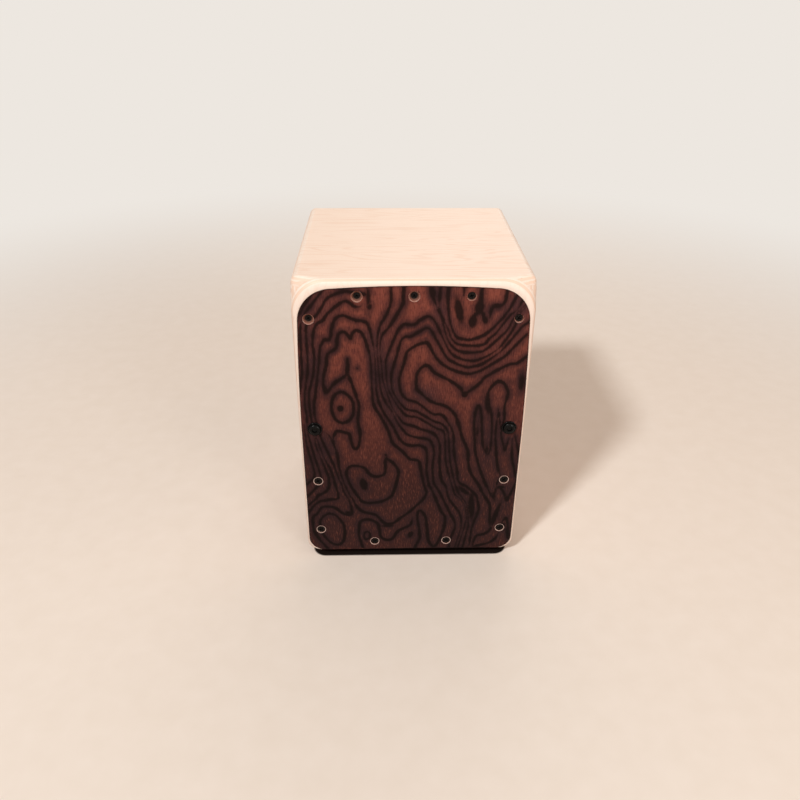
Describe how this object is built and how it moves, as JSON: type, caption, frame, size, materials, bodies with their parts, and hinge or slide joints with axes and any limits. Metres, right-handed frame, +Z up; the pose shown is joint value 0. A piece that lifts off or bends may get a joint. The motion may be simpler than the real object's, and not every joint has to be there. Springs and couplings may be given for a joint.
{
  "type": "mini cajon",
  "caption": "Small plywood box drum with a burl-veneered playing plate, inner snare wires, a round sound hole in the back and rubber feet.",
  "frame": {"origin": "on the floor, under the middle of the drum's bounding box", "axes": "+Z up; the playing plate faces -Y and the sound hole faces +Y; +X is to the right as seen from the playing side"},
  "size_m": [0.155, 0.1653, 0.2215],
  "materials": {
    "birch_ply": "satin",
    "burl_veneer": "satin lacquer",
    "pine": "raw",
    "black_steel": "satin black oxide",
    "wire_steel": "bright",
    "brass": "satin",
    "rubber": "matte"
  },
  "bodies": {
    "root": {"top_panel": "birch_ply", "bottom_panel": "birch_ply", "left_side_panel": "birch_ply", "right_side_panel": "birch_ply", "back_panel": "birch_ply", "front_plate": "birch_ply", "burl_veneer": "burl_veneer", "front_batten_left": "pine", "front_batten_right": "pine", "front_batten_top": "pine", "front_batten_bottom": "pine", "back_batten_left": "pine", "back_batten_right": "pine", "back_batten_top": "pine", "back_batten_bottom": "pine", "snare_rail": "pine", "snare_insert_left": "brass", "snare_insert_right": "brass", "snare_bolt_left": "black_steel", "snare_bolt_right": "black_steel", "snare_set_left": "wire_steel", "snare_set_right": "wire_steel", "snare_screw_left_inner": "black_steel", "snare_screw_left_outer": "black_steel", "snare_screw_right_inner": "black_steel", "snare_screw_right_outer": "black_steel", "plate_screw_top_middle": "black_steel", "plate_screw_top_left": "black_steel", "plate_screw_top_right": "black_steel", "plate_screw_upper_corner_left": "black_steel", "plate_screw_upper_corner_right": "black_steel", "plate_screw_lower_side_left": "black_steel", "plate_screw_lower_side_right": "black_steel", "plate_screw_lower_corner_left": "black_steel", "plate_screw_lower_corner_right": "black_steel", "plate_screw_bottom_left": "black_steel", "plate_screw_bottom_right": "black_steel", "foot_front_left": "rubber", "foot_front_right": "rubber", "foot_back_left": "rubber", "foot_back_right": "rubber", "foot_screw_front_left": "black_steel", "foot_screw_front_right": "black_steel", "foot_screw_back_left": "black_steel", "foot_screw_back_right": "black_steel"}
  },
  "joints": []
}
